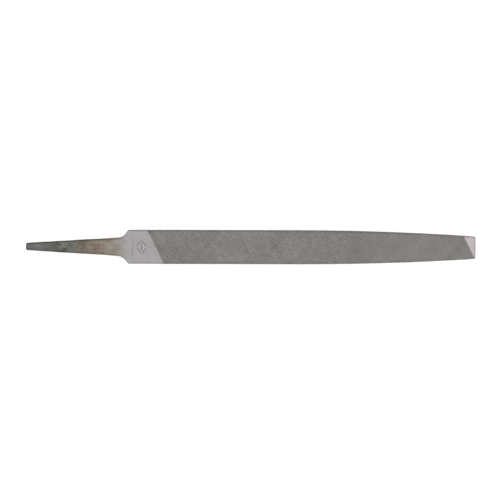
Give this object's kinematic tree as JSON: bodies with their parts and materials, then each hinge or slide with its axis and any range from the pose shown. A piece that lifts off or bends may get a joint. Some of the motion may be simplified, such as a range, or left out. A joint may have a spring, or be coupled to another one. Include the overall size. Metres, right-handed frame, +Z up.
{
  "type": "flat file",
  "caption": "Flat metalworking file with a bare tapered tang, double-cut faces and cut edges, narrowing in a curve and thinning to a square point.",
  "frame": {"origin": "middle of the lower side of the bounding box, where the file lies on a bench", "axes": "+X from the tang to the point, +Y across the width, +Z up from the bench through the thickness"},
  "size_m": [0.259, 0.0198, 0.005],
  "materials": {
    "tool_steel": "hardened tool steel: dull grey cut faces, finely ground heel and point, tang tempered brown and olive grey"
  },
  "bodies": {
    "root": {"flat_file": "tool_steel"}
  },
  "joints": []
}
